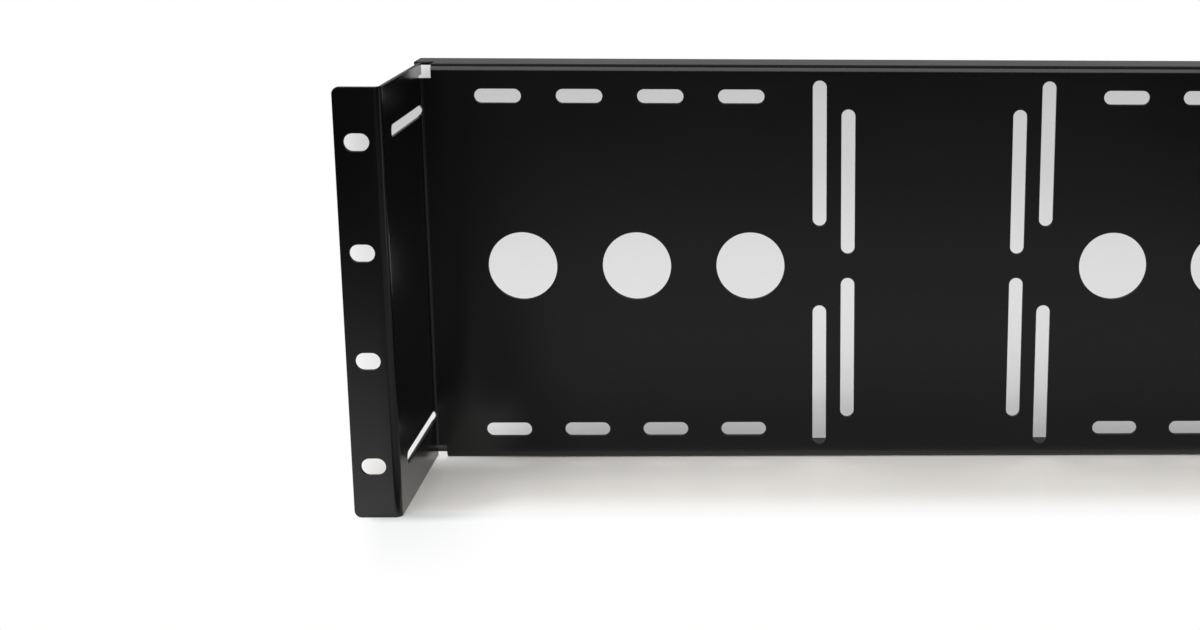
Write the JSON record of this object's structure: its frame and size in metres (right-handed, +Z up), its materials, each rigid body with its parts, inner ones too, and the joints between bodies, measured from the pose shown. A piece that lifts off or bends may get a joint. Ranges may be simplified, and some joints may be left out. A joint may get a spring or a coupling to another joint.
{
  "type": "rack monitor mounting bracket",
  "caption": "Folded black steel sheet that holds a flat display recessed behind the front of an equipment rack, with slots for screws and cables.",
  "frame": {"origin": "middle of the plane on which the backs of the ears seat against the rack's rails", "axes": "+X to the right seen from the front, +Y into the rack, +Z up"},
  "size_m": [0.4826, 0.105, 0.177],
  "materials": {
    "black_coat": "satin black powder coat on steel sheet"
  },
  "bodies": {
    "root": {"bracket": "black_coat"}
  },
  "joints": []
}
